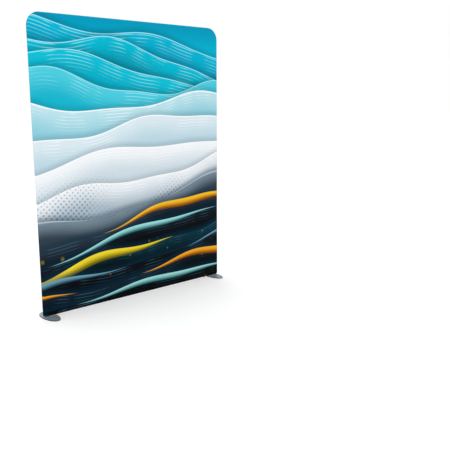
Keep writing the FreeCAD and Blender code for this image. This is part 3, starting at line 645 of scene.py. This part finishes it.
def hem_columns():
    """Places along the hem, close together round the openings."""
    zip_gap, side_gap, hole_gap, corner_gap = 0.03, 0.02, 0.0012, 0.01
    hole_start = FOOT_X - BOSS_HOLE_RADIUS
    hole_end = FOOT_X + BOSS_HOLE_RADIUS
    half = POST_X - HEM_TURN_RADIUS
    places = spread(0.0, ZIP_HALF_LENGTH, zip_gap) + [ZIP_HALF_LENGTH]
    places += spread(ZIP_HALF_LENGTH + ZIP_CORNER, hole_start, side_gap)
    places += spread(hole_start, hole_end, hole_gap)
    places += spread(hole_end, half, corner_gap) + [half]
    return [-place for place in reversed(places[1:])] + places


def edge_rows():
    """Height, half width and outward direction of the cover's edge, from the hem to the top."""
    hem_steps, bend_steps = 4, 18
    post_gap = 0.03
    rows = []
    for step in range(hem_steps + 1):
        angle = math.radians(90 * step / hem_steps)
        rows.append((HEM_Z + HEM_TURN_RADIUS * (1 - math.cos(angle)),
                     POST_X - HEM_TURN_RADIUS * (1 - math.sin(angle)),
                     math.sin(angle), -math.cos(angle)))
    bottom = HEM_Z + HEM_TURN_RADIUS
    top = TOP_Z - BEND_RADIUS
    rows += [(height, POST_X, 1.0, 0.0) for height in spread(bottom, top, post_gap)[1:]]
    for step in range(bend_steps + 1):
        angle = math.radians(90 * step / bend_steps)
        rows.append((top + BEND_RADIUS * math.sin(angle),
                     POST_X - BEND_RADIUS * (1 - math.cos(angle)),
                     math.cos(angle), math.sin(angle)))
    return rows


def hem_angle(x):
    """How far the cloth rolls under the hem before an opening cuts it, as an angle."""
    reach = 0.0
    if abs(x) <= ZIP_HALF_LENGTH:
        reach = ZIP_HALF_OPENING
    offset = abs(abs(x) - FOOT_X)
    if offset < BOSS_HOLE_RADIUS:
        reach = math.sqrt(BOSS_HOLE_RADIUS ** 2 - offset ** 2)
    return math.acos(reach / ROLL_RADIUS)


def slack(x, z):
    """How far the cloth between the tubes lies inside the plane of their outer sides."""
    depth = 0.0008
    onset = 0.06
    centre_ease = 0.012
    ripple_share = 0.25
    turn_x, phase_x = 5.1, 1.3
    turn_z, phase_z = 3.7, 0.4
    room = min(POST_X - abs(x), TOP_Z - z, z - HEM_Z, abs(x) + centre_ease)
    drawn = 1 - math.exp(-max(room, 0.0) / onset)
    ripple = math.sin(turn_x * x + phase_x) * math.sin(turn_z * z + phase_z)
    return depth * drawn * (1 - ripple_share + ripple_share * ripple)


# How far the cloth rolls over the frame's edge wherever no opening cuts it short.
RIGHT_ANGLE = math.pi / 2


def face_outline(columns, rows):
    """The points round a cover's face: each one's index, its outward direction and its roll's angle."""
    width = len(columns)
    last_row, last_column = len(rows) - 1, width - 1
    outline = [(column, (0.0, -1.0), hem_angle(columns[column])) for column in range(width)]
    for row in range(1, last_row):
        _, _, out_x, out_z = rows[row]
        outline.append((row * width + last_column, (out_x, out_z), RIGHT_ANGLE))
    outline += [(last_row * width + column, (0.0, 1.0), RIGHT_ANGLE)
                for column in range(last_column, -1, -1)]
    for row in range(last_row - 1, 0, -1):
        _, _, out_x, out_z = rows[row]
        outline.append((row * width, (-out_x, out_z), RIGHT_ANGLE))
    return outline


def add_roll(points, faces, outline, side):
    """Add the strip that rolls from a face's outline over the tubes and tucks in at the seam."""
    turns = 10
    inner = [index for index, _, _ in outline]
    for turn in range(1, turns + 1):
        outer = []
        for index, (out_x, out_z), end in outline:
            angle = end * turn / turns
            tuck = max(0.0, (angle - RIGHT_ANGLE + SEAM_ANGLE) / SEAM_ANGLE)
            radius = ROLL_RADIUS - SEAM_DEPTH * tuck ** 2
            x, _, z = points[index]
            reach = radius * math.sin(angle)
            outer.append(len(points))
            points.append((x + out_x * reach, side * radius * math.cos(angle), z + out_z * reach))
        for here in range(len(outline)):
            after = (here + 1) % len(outline)
            faces.append((inner[after], inner[here], outer[here], outer[after]))
        inner = outer


def cover_half(name, side, slot, node):
    """One half of the cover: a taut face, rolled over the frame's edge to the seam at y = 0."""
    columns = hem_columns()
    rows = edge_rows()
    widest = columns[-1]
    points = []
    for height, half, _, _ in rows:
        for column in columns:
            x = column / widest * half
            points.append((x, side * (ROLL_RADIUS - slack(x, height)), height))
    faces = grid_faces(len(rows), len(columns))
    add_roll(points, faces, face_outline(columns, rows), side)
    piece = new_piece(name, points, turned(faces) if side > 0 else faces, slot)
    thicken(piece, CLOTH_THICKNESS, -1.0)
    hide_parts(node)


cover_half("printed_front", -1, "printed_fabric", "front_fabric")
cover_half("plain_back", 1, "plain_fabric", "rear_fabric")


def zip_strip(name, node, side):
    """A woven tape inside the hem, curved with it and a little thinner than its solid."""
    low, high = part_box(node)
    solid_thickness = 0.0008
    thickness_share = 0.8
    length_gap, width_gap = 0.02, 0.0012
    inner = min(abs(low.y), abs(high.y))
    outer = max(abs(low.y), abs(high.y))
    middle = HEM_Z - low.z - solid_thickness / 2
    lengths = spread(low.x, high.x, length_gap) + [high.x]
    across = spread(inner, outer, width_gap) + [outer]
    points = [(x, side * y, HEM_Z - math.sqrt(middle ** 2 - y ** 2)) for x in lengths for y in across]
    faces = grid_faces(len(lengths), len(across))
    piece = new_piece(name, points, turned(faces) if side > 0 else faces, "zip_tape")
    thicken(piece, solid_thickness * thickness_share, 0.0)
    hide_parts(node)


zip_strip("front_tape", "front_zip_tape", -1)
zip_strip("rear_tape", "rear_zip_tape", 1)


def stitch_row(name, side):
    """The lockstitches that sew a tape to the hem, one short length of thread after another."""
    pitch = 0.004
    length = 0.0032
    thread_radius = 0.0003
    beside_opening = 0.003
    angle = math.asin((ZIP_HALF_OPENING + beside_opening) / ROLL_RADIUS)
    middle_y = side * ROLL_RADIUS * math.sin(angle)
    middle_z = HEM_Z - ROLL_RADIUS * math.cos(angle)
    # Along a stitch: share of its length from the middle, and share of the thread's radius.
    station_shares = ((-0.5, 0.25), (-0.3, 1.0), (0.3, 1.0), (0.5, 0.25))
    sides = 6
    points, faces = [], []
    for centre in spread(-ZIP_HALF_LENGTH + pitch, ZIP_HALF_LENGTH, pitch):
        faces += sleeve_faces(len(points), len(station_shares), sides)
        for share, swell in station_shares:
            for corner in range(sides):
                turn = math.tau * corner / sides
                points.append((centre + length * share,
                               middle_y + thread_radius * swell * math.cos(turn),
                               middle_z + thread_radius * swell * math.sin(turn)))
    new_piece(name, points, faces, "zip_tape")


stitch_row("front_stitches", -1)
stitch_row("rear_stitches", 1)


def coil_row(name, node, side):
    """One row of a coil zip: a stub of round wire with a thickened head for each tooth."""
    low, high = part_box(node)
    pitch = 0.0024
    half_width_share = 0.36
    # From a tooth's back to its front: share of its length, and share of its thickness.
    station_shares = ((0.0, 0.72), (0.45, 0.8), (0.72, 1.0), (0.92, 0.94), (1.0, 0.6))
    sides = 8
    centre_z = (low.z + high.z) / 2
    back = max(abs(low.y), abs(high.y))
    front = min(abs(low.y), abs(high.y))
    half_width = half_width_share * pitch
    half_height = (high.z - low.z) / 2
    first = low.x + pitch / 2 + (pitch / 2 if side > 0 else 0.0)
    count = int((high.x - first) / pitch)
    points, faces = [], []
    for tooth in range(count):
        middle = first + pitch * tooth
        faces += sleeve_faces(len(points), len(station_shares), sides)
        for share, swell in station_shares:
            y = back + (front - back) * share
            for corner in range(sides):
                angle = math.tau * corner / sides
                points.append((middle + half_width * swell * math.cos(angle), side * y,
                               centre_z + half_height * swell * math.sin(angle)))
    piece = new_piece(name, points, faces if side > 0 else turned(faces), "zip_teeth")
    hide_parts(node)


coil_row("front_coil", "front_zip_teeth", -1)
coil_row("rear_coil", "rear_zip_teeth", 1)


def spring_line():
    """The middle of a hairpin spring's strip: places along and above its tube, and outward ways."""
    leg_gap = 0.005
    bend_steps = 16
    bend_height = (SPRING_TOP - SPRING_BASE) / 2
    bend_radius = (SPRING_TOP + SPRING_BASE) / 2 - SPRING_THICKNESS / 2
    leg = spread(-SPRING_TIP, SPRING_REACH, leg_gap)
    line = [(along, bend_height + bend_radius, 0.0, 1.0) for along in leg]
    for step in range(bend_steps + 1):
        angle = math.pi * (0.5 - step / bend_steps)
        line.append((SPRING_REACH + bend_radius * math.cos(angle),
                     bend_height + bend_radius * math.sin(angle),
                     math.cos(angle), math.sin(angle)))
    return line + [(along, bend_height - bend_radius, 0.0, -1.0) for along in reversed(leg)]


def hairpin_spring(joint):
    """The leaf spring behind a snap button, placed from where the button rests."""
    place = joint["name"].removesuffix("_press")
    outward = Vector(joint["axis"]) * -1
    low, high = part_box(joint["child"])
    button_top = (low + high) / 2 + outward * abs((high - low).dot(outward)) / 2
    tube_middle = button_top - outward * (TUBE_RADIUS + BUTTON_PROUD)
    way = Vector((0, 0, 1)) if place.endswith("shoulder") else Vector((0, 0, -1))
    if place.endswith(("_top", "_hem")):
        way = Vector((1, 0, 0)) if place.startswith("right") else Vector((-1, 0, 0))
    sideways = outward.cross(way)
    corners = ((1, -1), (1, 1), (-1, 1), (-1, -1))
    points = []
    line = spring_line()
    for along, height, out_along, out_height in line:
        for thick, wide in corners:
            offset = SPRING_THICKNESS / 2 * thick
            points.append(tube_middle + way * (along + out_along * offset)
                          + outward * (height + out_height * offset)
                          + sideways * (SPRING_WIDTH / 2 * wide))
    faces = turned(sleeve_faces(0, len(line), len(corners)))
    piece = new_piece(f"{place}_spring", points, faces, "spring_steel", body=None)
    for polygon in piece.data.polygons:
        polygon.use_smooth = False
    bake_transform(piece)
    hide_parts("button_springs")


for joint in frame["joints"]:
    if joint["name"].endswith("_press"):
        hairpin_spring(joint)


def add_floor():
    """A plain pale floor, a little brighter to the camera than to the wall."""
    reach = 60.0
    corners = 96
    glow = 0.15
    turns = [math.tau * corner / corners for corner in range(corners)]
    rim = [(reach * math.cos(turn), reach * math.sin(turn), 0.0) for turn in turns]
    mesh = bpy.data.meshes.new("floor")
    mesh.from_pydata(rim, [], [tuple(range(corners))])
    floor = bpy.data.objects.new("floor", mesh)
    bpy.context.scene.collection.objects.link(floor)
    paint = Paint("floor", roughness=0.9, specular=0.0)
    mottle = paint.noise(scale=3.0, detail=3.0)
    paint.colour(paint.mix(mottle, srgb(246, 246, 246), srgb(250, 250, 250)))
    paint.shader.inputs["Emission Color"].default_value = WHITE
    seen = Field(paint, paint.add("ShaderNodeLightPath").outputs["Is Camera Ray"])
    paint.feed(paint.shader.inputs["Emission Strength"], seen * glow)
    mesh.materials.append(paint.material)


def add_backdrop():
    """White all round: full where it is seen or mirrored, a little less as a light."""
    light_strength = 0.92
    seen_strength = 1.0
    world = bpy.data.worlds.new("studio")
    bpy.context.scene.world = world
    world.use_nodes = True
    tree = world.node_tree
    backdrop = tree.nodes["Background"]
    backdrop.inputs["Color"].default_value = WHITE
    path = tree.nodes.new("ShaderNodeLightPath")
    seen = path.outputs["Is Camera Ray"]
    for ray in ("Is Glossy Ray", "Is Transmission Ray"):
        either = tree.nodes.new("ShaderNodeMath")
        either.operation = "MAXIMUM"
        tree.links.new(seen, either.inputs[0])
        tree.links.new(path.outputs[ray], either.inputs[1])
        seen = either.outputs["Value"]
    level = tree.nodes.new("ShaderNodeMapRange")
    level.inputs["To Min"].default_value = light_strength
    level.inputs["To Max"].default_value = seen_strength
    tree.links.new(seen, level.inputs["Value"])
    tree.links.new(level.outputs["Result"], backdrop.inputs["Strength"])


def add_lamp(name, place, power):
    """A wide soft lamp that looks at the middle of the wall."""
    lamp = bpy.data.lights.new(name, "AREA")
    lamp.size = LAMP_SIZE
    lamp.energy = power
    holder = bpy.data.objects.new(name, lamp)
    holder.location = place
    holder.rotation_euler = (LAMP_TARGET - Vector(place)).to_track_quat("-Z", "Y").to_euler()
    bpy.context.scene.collection.objects.link(holder)


def add_camera():
    """The camera of the photograph."""
    lens = bpy.data.cameras.new("camera")
    lens.lens = CAMERA_LENS
    lens.sensor_width = CAMERA_SENSOR
    camera = bpy.data.objects.new("camera", lens)
    camera.location = CAMERA_PLACE
    camera.rotation_euler = (math.pi / 2 + CAMERA_PITCH, 0.0, CAMERA_YAW)
    bpy.context.scene.collection.objects.link(camera)
    bpy.context.scene.camera = camera


add_floor()
add_backdrop()
add_lamp("key", place=(-3.5, -5.5, 5.5), power=110)
add_lamp("back", place=(3.5, 5.5, 5.0), power=80)
add_camera()
bpy.context.scene.view_settings.view_transform = "Standard"
